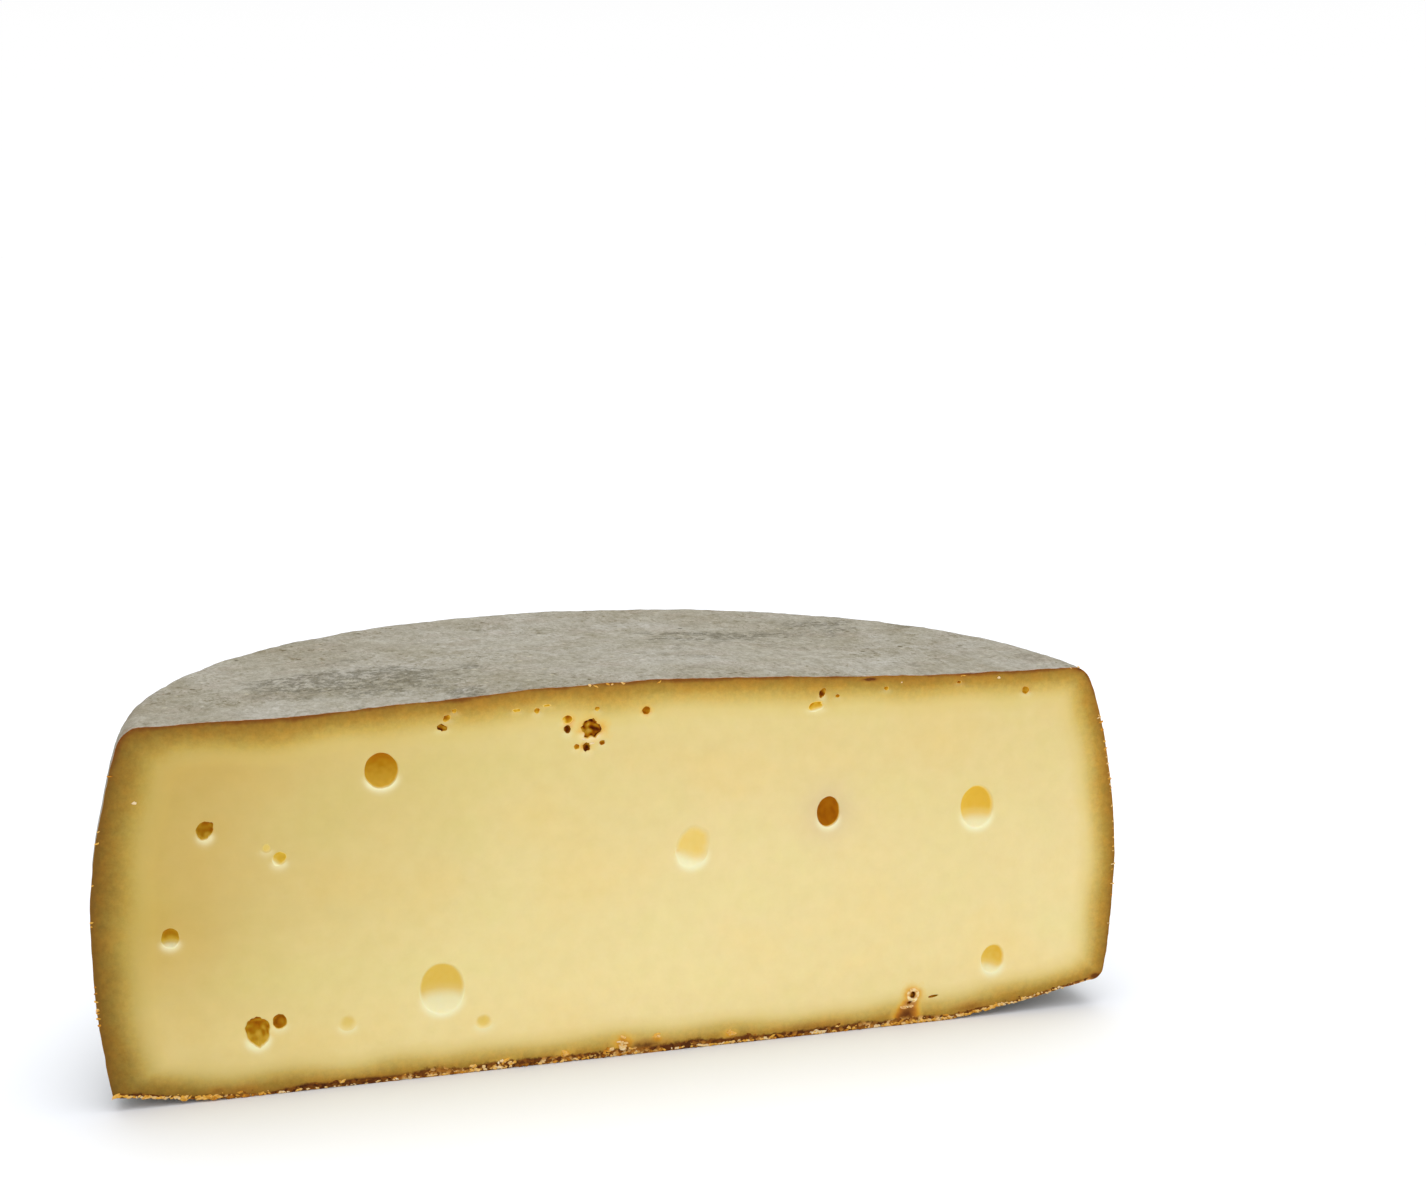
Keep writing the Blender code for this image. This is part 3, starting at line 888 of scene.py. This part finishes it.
def add_stains(tree, colour):
    """Brown stains with a golden rim, dark ones that fade out and grey ones."""
    brown = tree.math("MULTIPLY_ADD", tree.noise(420, 3, 0.6), 0.3, tree.attribute("brown"))
    brown_colour = tree.colours(
        brown,
        (0.30, 232, 192, 88), (0.48, 224, 164, 48), (0.66, 196, 118, 26),
        (0.85, 156, 82, 14), (1.0, 108, 48, 8),
    )
    colour = tree.mix(tree.ramp(brown, (0.21, 0.0), (0.48, 0.85)), colour, brown_colour)
    dark = tree.math("MULTIPLY_ADD", tree.noise(520, 3, 0.65), 0.4, tree.attribute("dark"))
    dark_colour = tree.colours(dark, (0.4, 176, 112, 36), (0.9, 100, 50, 12))
    colour = tree.mix(tree.ramp(dark, (0.30, 0.0), (1.0, 0.95)), colour, dark_colour)
    return tree.mix(tree.ramp(tree.attribute("grey"), (0.0, 0.0), (1.0, 0.4)), colour, srgb(190, 166, 150))


def add_crust(tree, colour):
    """The rough crust along the lower edge, in cells of every tone from dark brown to cream."""
    crust = tree.attribute("crust")
    rough = tree.noise(620, 4, 0.7)
    from_middle, chance = tree.cells(780, tree.warp(900, 0.0012))
    tone = tree.ramp(tree.noise(45, 2), (0.4, 0.0), (0.6, 0.2))
    for part, weight in ((chance, 0.45), (crust, 0.25), (rough, 0.2)):
        tone = tree.math("MULTIPLY_ADD", part, weight, tone)
    crust_colour = tree.colours(
        tone,
        (0.30, 86, 42, 12), (0.50, 106, 56, 16), (0.66, 140, 84, 24),
        (0.77, 184, 124, 48), (0.87, 220, 172, 100), (0.96, 236, 206, 154),
    )
    crust_colour = tree.tint(crust_colour, tree.ramp(from_middle, (0.35, 1.0), (0.7, 0.72)))
    share = tree.ramp(tree.math("MULTIPLY_ADD", rough, 0.8, crust), (0.62, 0.0), (0.90, 1.0))
    return tree.mix(share, colour, crust_colour)


def add_eyes(tree, colour, across, eye):
    """Pale lips of painted light; hollows from yellow to dark brown, partly their own colour and partly
    painted shade, darker at the left partly by painted shade; and torn rims, cream partly by their own colour
    and partly by painted highlight.
    """
    # Painted light: the lower lips and the cut just below them are mixed towards pale cream.
    lip = tree.ramp(tree.attribute("lip"), (0.0, 0.0), (0.5, 0.45), (1.0, 0.95))
    colour = tree.mix(lip, colour, srgb(241, 236, 194))
    # The hollows' colour, partly their own and partly painted shade.
    hollow = tree.colours(
        tree.math("MULTIPLY", eye, 0.8),
        (0.21, 237, 209, 126), (0.40, 235, 202, 100), (0.48, 232, 191, 72), (0.59, 223, 179, 56),
        (0.69, 203, 151, 24), (0.75, 196, 132, 14), (0.80, 190, 120, 8), (0.92, 138, 70, 4),
        (1.0, 100, 42, 4),
    )
    # Darker towards the left end, partly the hollows' own colour and partly painted shade.
    left_tone_and_shade = tree.ramp(across, (0.07, (0.83, 0.85, 0.80)), (0.26, (0.93, 0.94, 0.92)), (0.45, WHITE))
    colour = tree.mix(tree.ramp(eye, (0.0, 0.0), (0.3, 1.0)), colour, tree.tint(hollow, left_tone_and_shade))
    # Torn rims: cream, partly their own colour and partly painted highlight.
    torn = tree.math("MULTIPLY_ADD", tree.noise(700, 2), 0.7, tree.attribute("torn"))
    torn_colour = tree.colours(
        tree.noise(900, 3, 0.6), (0.36, 216, 160, 86), (0.48, 240, 204, 142), (0.60, 250, 230, 180)
    )
    return tree.mix(tree.ramp(torn, (0.78, 0.0), (1.0, 1.0)), colour, torn_colour)


def paste_material():
    """The cut, slightly translucent, with a faint relief of skin and knife strokes."""
    tree = Tree("paste")
    rise = tree.math("MULTIPLY", tree.axis("Z"), 1 / HIGH.z)
    across = tree.math("MULTIPLY_ADD", tree.axis("X"), 1 / (2 * WIDEST_RADIUS), 0.5)
    across = tree.math("ADD", across, tree.math("MULTIPLY_ADD", tree.noise(16, 3), 0.16, -0.08))
    band, eye = tree.attribute("band"), tree.attribute("eye")
    colour = paste_ground(tree, rise, across, band)
    colour = add_stains(tree, colour)
    colour = add_crust(tree, colour)
    colour = add_eyes(tree, colour, across, eye)

    hollow_dull = tree.ramp(eye, (0.0, 0.5), (0.6, 0.9))
    dull = tree.math("MAXIMUM", hollow_dull, tree.ramp(band, (0.0, 0.85), (0.9, 0.5)))
    tree.shader.inputs["Subsurface Weight"].default_value = 0.3
    tree.shader.inputs["Subsurface Radius"].default_value = (1.0, 0.7, 0.3)
    tree.shader.inputs["Subsurface Scale"].default_value = 1.6 * MM
    skin = tree.bump(tree.noise(1300, 3, 0.6), 0.04 * MM)
    skin = tree.bump(tree.noise(160, 3, 0.5), 0.12 * MM, skin)
    strokes = tree.noise(60, 3, 0.6, place=tree.stretch(0.12, 1, 4))
    return tree.finish(colour, dull, 0.12, tree.bump(strokes, 0.12 * MM, skin))


def rind_ground(tree, warped, drawn_out):
    """Clouded grey with a fine grain."""
    clouds = tree.noise(30, 5, 0.62, place=warped)
    colour = tree.colours(clouds, (0.28, 140, 134, 118), (0.46, 150, 146, 133), (0.68, 160, 157, 148))
    warmer = tree.ramp(tree.noise(75, 3, 0.6), (0.5, 0.0), (0.75, 0.3))
    colour = tree.mix(warmer, colour, srgb(152, 138, 128))
    blotches = tree.noise(210, 4, 0.75, place=drawn_out)
    blotches = tree.ramp(blotches, (0.34, (0.84, 0.83, 0.79)), (0.66, (1.13, 1.13, 1.14)))
    grain = tree.noise(560, 4, 0.85, place=drawn_out)
    grain = tree.ramp(grain, (0.30, (0.74, 0.73, 0.69)), (0.70, (1.25, 1.25, 1.27)))
    return tree.tint(colour, blotches, grain)


def add_marks(tree, colour, warped, drawn_out):
    """Olive pits, patches, scratches and chips. Returns the colour and how far the rind is sunk."""
    fine_warp = tree.warp(700, 0.0012)
    olive = tree.mask(0.48, 0.66, 34, 4, 0.65, 0.6)
    threads = tree.mask(0.45, 0.55, 290, 5, 0.85, 0.5, place=drawn_out)
    patches = tree.mask(0.53, 0.63, 24, 4, 0.6, 0.5)
    patch = tree.math("MULTIPLY", patches, tree.mask(0.48, 0.58, 330, 5, 0.8))
    crowd = tree.ramp(tree.noise(36, 3, 0.6), (0.40, 0.15), (0.62, 1.0))
    dabs = tree.mask(0.58, 0.66, 165, 5, 0.8, place=drawn_out)
    dots = tree.mask(0.60, 0.67, 330, 4, 0.75, place=drawn_out)
    scratches = tree.ramp(tree.noise(64, 4, 0.55, 1.4), (0.486, 0.0), (0.5, 1.0), (0.514, 0.0))
    scratched = tree.mask(0.50, 0.58, 50, 2)
    rise = tree.math("MULTIPLY", tree.axis("Z"), 1 / HIGH.z)
    corner = tree.ramp(rise, (0.90, 0.0), (0.925, 1.0), (0.952, 1.0), (0.963, 0.0))
    chips = tree.mask(0.58, 0.64, 230, 5, 0.8)
    corner_darkening = tree.ramp(tree.noise(90, 5, 0.7), (0.36, 0.15), (0.62, 0.75))
    holes = tree.specks(105, 0.10, 0.16, fine_warp)
    pits = tree.math("MULTIPLY", tree.specks(270, 0.27, 0.30, fine_warp), crowd)

    # Marks over one another: two masks that are multiplied, how strong the mark is, and its colour.
    marks = (
        (olive, 1.0, 0.14, (122, 114, 86)),
        (olive, threads, 0.5, (114, 106, 80)),
        (patch, 1.0, 0.6, (98, 92, 70)),
        (scratches, scratched, 0.6, (104, 98, 74)),
        (dabs, crowd, 0.7, (108, 99, 72)),
        (dots, crowd, 0.8, (98, 90, 60)),
        (tree.specks(560, 0.34, 0.34, fine_warp), crowd, 0.75, (104, 94, 62)),
        # Pits and holes are sunk by the bump and darkened, partly their own colour and partly painted shade.
        (pits, 1.0, 0.85, (92, 82, 52)),
        (tree.specks(130, 0.26, 0.30, warped), crowd, 0.4, (104, 96, 70)),
        (holes, 1.0, 0.9, (52, 46, 30)),
        (tree.specks(260, 0.24, 0.10, fine_warp), 1.0, 0.4, (196, 188, 164)),
        # Darker in patches along the top's rounded corner.
        (corner, corner_darkening, 0.6, (112, 101, 84)),
        (corner, chips, 0.7, (140, 108, 86)),
    )
    for mask, other, strength, tone in marks:
        share = tree.math("MULTIPLY", tree.math("MULTIPLY", mask, other), strength)
        colour = tree.mix(share, colour, srgb(*tone))
    sunk = tree.math("ADD", tree.math("ADD", pits, holes), tree.math("MULTIPLY", patch, 0.6))
    return colour, sunk


def add_brink(tree, colour):
    """The rind worn brown where it meets the cut, and crusty there along the base."""
    brink = tree.attribute("brink")
    worn = tree.math("MULTIPLY_ADD", tree.noise(520, 4, 0.7), 0.6, tree.math("MULTIPLY", brink, 0.4))
    worn_colour = tree.colours(tree.noise(800, 2), (0.4, 112, 74, 40), (0.6, 188, 150, 120))
    colour = tree.mix(tree.ramp(worn, (0.60, 0.0), (0.78, 0.8)), colour, worn_colour)
    low = tree.ramp(tree.math("MULTIPLY", tree.axis("Z"), 1 / (20 * MM)), (0.5, 1.0), (0.75, 0.0))
    under = tree.math("MULTIPLY", low, tree.ramp(brink, (0.2, 0.0), (0.8, 1.0)))
    crusty = tree.colours(
        tree.noise(620, 4, 0.7), (0.36, 82, 42, 12), (0.5, 122, 70, 20), (0.66, 190, 136, 60)
    )
    return tree.mix(under, colour, crusty)


def rind_material():
    """Grey natural rind, peppered with marks that gather in places."""
    tree = Tree("rind")
    warped, drawn_out = tree.warp(160, 0.005), tree.stretch(1.5, 0.9, 1.5)
    colour = rind_ground(tree, warped, drawn_out)
    colour, sunk = add_marks(tree, colour, warped, drawn_out)
    colour = add_brink(tree, colour)
    skin = tree.bump(tree.noise(900, 4, 0.7), 0.3 * MM)
    skin = tree.bump(tree.noise(260, 4, 0.6), 0.6 * MM, skin)
    skin = tree.bump(tree.math("SUBTRACT", 1.0, sunk), 0.4 * MM, skin)
    return tree.finish(colour, 0.9, 0.15, skin)


def crumb_material():
    """Torn bits of rind and paste, from dark brown through golden orange to cream."""
    tree = Tree("crumbs")
    tone = tree.math("SUBTRACT", tree.attribute("tone"), 0.2)
    tone = tree.math("MULTIPLY_ADD", tree.noise(1300, 2), 0.4, tone)
    colour = tree.colours(
        tone,
        (0.05, 98, 50, 14), (0.30, 134, 78, 20), (0.50, 194, 128, 36),
        (0.68, 230, 176, 74), (0.84, 232, 198, 138), (1.00, 236, 216, 178),
    )
    return tree.finish(colour, 0.7, 0.08, tree.bump(tree.noise(1800, 2), 0.1 * MM))


CRUMB_SEED = 17
CRUMB_SHARP = math.radians(35)
CRUMB_CLEARANCE = 0.02 * MM

# Crumbs all along the lower edge: how many, how far from the axis, and from where to where they lie thick.
CRUST_CRUMBS, CRUST_END, CRUMBS_THICK = 260, 143, (-118, 108)
CRUST_TONES = (0.1, 0.15, 0.2, 0.25, 0.3, 0.4, 0.55, 0.7)
TOP_CRUMB_PLACES = (-12.6, -10.9, -7.4, -6.2, -3.0, 7.5, 99.0, 99.8, 134, 136.5)
RIM_CRUMBS = 7
# Right is 1 and left is -1, with how many crumbs.
SIDE_CRUMBS, SIDE_CRUMB_HEIGHTS = ((1, 30), (-1, 14)), (22, 99)

# Stretches of crumbs along the lower edge, in millimetres: from and to, how many, their sizes and tones.
CRUMB_STRETCHES = (
    (-146, -126, 30, 0.8, 1.5, 0.60, 0.90),
    (-124, -118, 9, 1.2, 2.0, 0.55, 0.75),
    (-118, -104, 14, 0.7, 1.2, 0.35, 0.75),
    (-102.5, -99, 4, 0.8, 1.3, 0.80, 0.95),
    (-98, -62, 22, 0.5, 0.9, 0.70, 0.95),
    (-61, -58.5, 4, 0.8, 1.2, 0.75, 0.95),
    (-57, -50, 9, 0.7, 1.2, 0.40, 0.80),
    (-49.5, -44.5, 7, 0.8, 1.3, 0.60, 0.92),
    (-43, -36.5, 9, 0.8, 1.4, 0.65, 0.98),
    (-35, -12, 16, 0.7, 1.3, 0.25, 0.80),
    (-10, 2, 9, 0.8, 1.3, 0.30, 0.90),
    (3, 18, 10, 0.7, 1.2, 0.30, 0.95),
    (19, 42, 26, 0.8, 1.3, 0.50, 0.90),
    (43, 80, 26, 0.7, 1.2, 0.30, 0.80),
    (53, 57.5, 7, 0.9, 1.5, 0.85, 1.00),
    (72.5, 74.5, 4, 0.9, 1.3, 0.90, 1.00),
    (77, 114, 54, 0.8, 1.4, 0.55, 0.88),
    (114, 134, 20, 0.6, 1.0, 0.70, 0.95),
)

# Clusters of crumbs on the cut, in millimetres: middle, reach across and up, how many, their sizes and tones.
CRUMB_CLUSTERS = (
    (-4.1, 3.9, 1.2, 1.9, 13, 0.8, 1.4, 0.70, 1.00),
    (-8.0, 1.8, 2.2, 0.9, 7, 0.8, 1.3, 0.50, 0.90),
    (-21.5, 2.6, 0.8, 1.2, 5, 0.8, 1.3, 0.66, 0.76),
    (-40.0, 1.8, 4.2, 0.9, 10, 0.7, 1.3, 0.55, 0.98),
    (-47.0, 1.5, 2.4, 0.7, 5, 0.7, 1.2, 0.55, 0.90),
    (6.0, 4.7, 1.0, 0.8, 5, 0.8, 1.3, 0.66, 0.76),
    (28.4, 3.3, 1.1, 0.8, 5, 0.8, 1.3, 0.66, 0.80),
    (83.2, 5.6, 1.6, 0.3, 6, 0.6, 0.9, 0.60, 0.95),
    # The palest crumbs at the crag's foot are a painted highlight.
    (-12.0, 93.4, 0.4, 0.3, 2, 0.6, 0.8, 0.95, 1.00),
    (-14.4, 94.6, 0.3, 0.3, 1, 0.8, 0.8, 0.95, 1.00),
    (-136.9, 85.5, 0.4, 0.6, 3, 0.7, 1.0, 0.95, 1.00),
    (80.2, 104.9, 0.2, 0.2, 1, 0.6, 0.7, 0.90, 1.00),
    (110.8, 104.7, 0.4, 0.2, 2, 0.6, 0.8, 0.85, 0.98),
)


def crumb_mesh(size, draw):
    """Points and triangles of one rough lump about this big."""
    made = bmesh.new()
    bmesh.ops.create_icosphere(made, subdivisions=2, radius=size / 2)
    seed = draw.uniform(0, 100)
    for vert in made.verts:
        bump = noise.noise(vert.co * 2.2 / size + Vector((seed, 0, 0)))
        spike = noise.noise(vert.co * 6 / size + Vector((0, seed, 0)))
        vert.co *= 1 + 0.6 * bump + 0.35 * spike
    stretch = Matrix.Diagonal((draw.uniform(0.8, 2.1), draw.uniform(0.7, 1.0), draw.uniform(0.6, 1.0), 1.0))
    made.transform(Matrix.Rotation(draw.uniform(-0.6, 0.6), 4, "Y") @ stretch)
    made.verts.index_update()
    points = np.array([vert.co for vert in made.verts])
    faces = np.array([[vert.index for vert in face.verts] for face in made.faces])
    made.free()
    return points, faces


class Crumbs:
    """Many crumbs gathered in one mesh. Places and sizes are in millimetres, from the axis and the base."""

    def __init__(self):
        self.draw = random.Random(CRUMB_SEED)
        self.points, self.faces, self.tones = [], [], []
        self.total = 0

    def add(self, x, z, size, tone, proud):
        """A crumb on the cut, standing out by a share of its size."""
        points, faces = crumb_mesh(size * MM, self.draw)
        height = max(z * MM, CRUMB_CLEARANCE - points[:, 2].min())
        points = points + (AXIS_X + x * MM, CUT_Y + size * MM * (0.5 - proud), height)
        self.points.append(points)
        self.faces.append(faces + self.total)
        self.tones.append(np.full(len(points), tone))
        self.total += len(points)

    def build(self, name):
        tones = {"tone": np.concatenate(self.tones)}
        obj = mesh_object(name, np.concatenate(self.points), np.concatenate(self.faces), tones)
        obj.data.set_sharp_from_angle(angle=CRUMB_SHARP)
        return obj


def lower_edge(x):
    """How far above the floor the cut's lower edge is at x, in millimetres."""
    return float(base_height(np.array(abs(x) * MM), np.array(0.0 if x > 0 else math.pi))) / MM


def crumb_richness(x):
    """From 0 to 1, how thick the crumbs lie at x. They are sparse at both ends of the cut."""
    rich = 0.5 + 0.9 * noise.noise(Vector((x * MM * 75, 8.0, 0.0)))
    return max(0.0, min(1.0, rich)) * (1.0 if CRUMBS_THICK[0] <= x <= CRUMBS_THICK[1] else 0.35)


def add_lower_crumbs(crumbs):
    """Crumbs along the lower edge, first in the chosen stretches and then all along."""
    draw = crumbs.draw
    for left, right, count, smallest, largest, darkest, palest in CRUMB_STRETCHES:
        for i in range(count):
            x = left + (right - left) * (i + draw.random()) / count
            z = lower_edge(x) + draw.uniform(0.1, 0.7)
            crumbs.add(x, z, draw.uniform(smallest, largest), draw.uniform(darkest, palest), 0.35)
    for i in range(CRUST_CRUMBS):
        x = CRUST_END * (2 * (i + draw.random()) / CRUST_CRUMBS - 1)
        rich = crumb_richness(x)
        size = draw.uniform(0.4, 0.7 + 0.9 * rich)
        tone = draw.choice(CRUST_TONES)
        if draw.random() < 0.15 + rich:
            crumbs.add(x, lower_edge(x) + 0.6 + draw.random() * (0.5 + 1.6 * rich), size, tone, 0.22)


def add_edge_crumbs(crumbs):
    """Crumbs round the crater's torn rim, on the cut's right and left edges and along its top."""
    draw = crumbs.draw
    x, z, half_width, half_height, *_ = TORN_RIMS[0]
    for i in range(RIM_CRUMBS):
        angle = math.tau * (i + 0.6 * draw.random()) / RIM_CRUMBS
        place_x = x + half_width * draw.uniform(0.9, 1.15) * math.cos(angle)
        place_z = z + half_height * draw.uniform(0.9, 1.15) * math.sin(angle)
        crumbs.add(place_x, place_z, draw.uniform(0.5, 0.8), draw.uniform(0.45, 0.9), 0.5)
    for side, count in SIDE_CRUMBS:
        for i in range(count):
            z = draw.uniform(*SIDE_CRUMB_HEIGHTS)
            x = side * (float(side_radius(np.array(z * MM))) / MM - 0.3)
            crumbs.add(x, z, draw.uniform(0.5, 1.0), draw.uniform(0.45, 0.85), 0.25)
    for x in TOP_CRUMB_PLACES:
        z = float(crown_height(np.array(abs(x) * MM))) / MM - draw.uniform(0.2, 0.7)
        crumbs.add(x, z, draw.uniform(0.5, 0.9), draw.uniform(0.55, 0.85), 0.3)


def build_crumbs():
    """Bits of crust and rind left along the cut's edges, most of them along the lower one."""
    crumbs = Crumbs()
    draw = crumbs.draw
    add_lower_crumbs(crumbs)
    add_edge_crumbs(crumbs)
    for x, z, across, up, count, smallest, largest, darkest, palest in CRUMB_CLUSTERS:
        for i in range(count):
            angle, out = math.tau * draw.random(), math.sqrt(draw.random())
            place_x, place_z = x + across * out * math.cos(angle), z + up * out * math.sin(angle)
            crumbs.add(place_x, place_z, draw.uniform(smallest, largest), draw.uniform(darkest, palest), 0.35)
    return crumbs.build("crust_crumbs")


def build_floor():
    mesh = bmesh.new()
    bmesh.ops.create_grid(mesh, x_segments=2, y_segments=2, size=FLOOR_SIZE)
    data = bpy.data.meshes.new("floor")
    mesh.to_mesh(data)
    mesh.free()
    data.materials.append(Tree("floor").finish(FLOOR_COLOUR, 0.7, 0.2))
    floor = add_to_scene("floor", data)


def build_lights():
    """Soft light from all round, strongest overhead, and one wide sun from high above and a little behind."""
    world = bpy.data.worlds.new("studio")
    world.use_nodes = True
    nodes, links = world.node_tree.nodes, world.node_tree.links
    direction = nodes.new("ShaderNodeTexCoord").outputs["Generated"]
    split = nodes.new("ShaderNodeSeparateXYZ")
    links.new(direction, split.inputs[0])
    sky = nodes.new("ShaderNodeValToRGB")
    links.new(split.outputs["Z"], sky.inputs["Fac"])
    set_stops(sky.color_ramp, SKY)
    links.new(sky.outputs["Color"], nodes["Background"].inputs["Color"])
    nodes["Background"].inputs["Strength"].default_value = 1.0
    bpy.context.scene.world = world

    sun_data = bpy.data.lights.new("high_sun", "SUN")
    sun_data.energy = SUN_POWER
    sun_data.angle = SUN_SOFTNESS
    level = math.cos(SUN_HEIGHT)
    travel = Vector((-math.sin(SUN_SIDE) * level, math.cos(SUN_SIDE) * level, -math.sin(SUN_HEIGHT)))
    sun = add_to_scene("high_sun", sun_data)
    sun.rotation_euler = travel.to_track_quat("-Z", "Y").to_euler()


def build_camera():
    data = bpy.data.cameras.new("camera")
    data.lens = LENS_MM
    data.sensor_width = SENSOR_MM
    data.sensor_fit = "HORIZONTAL"
    data.clip_start = 0.01
    camera = add_to_scene("camera", data)
    turned = Matrix.Rotation(-CAMERA_YAW, 4, "Z") @ Matrix.Rotation(math.pi / 2 - CAMERA_PITCH, 4, "X")
    rolled = turned @ Matrix.Rotation(CAMERA_ROLL, 4, "Z")
    camera.matrix_world = Matrix.Translation(CAMERA_PLACE) @ rolled
    bpy.context.scene.camera = camera


def set_view():
    view = bpy.context.scene.view_settings
    view.view_transform = "Standard"
    view.look = "None"
    view.exposure = 0.0
    view.gamma = 1.0


half = build_half()
half.data.materials.append(paste_material())
half.data.materials.append(rind_material())
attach(half, "root")
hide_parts("half_wheel")

crumbs = build_crumbs()
crumbs.data.materials.append(crumb_material())
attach(crumbs, "root")

build_floor()
build_lights()
build_camera()
set_view()
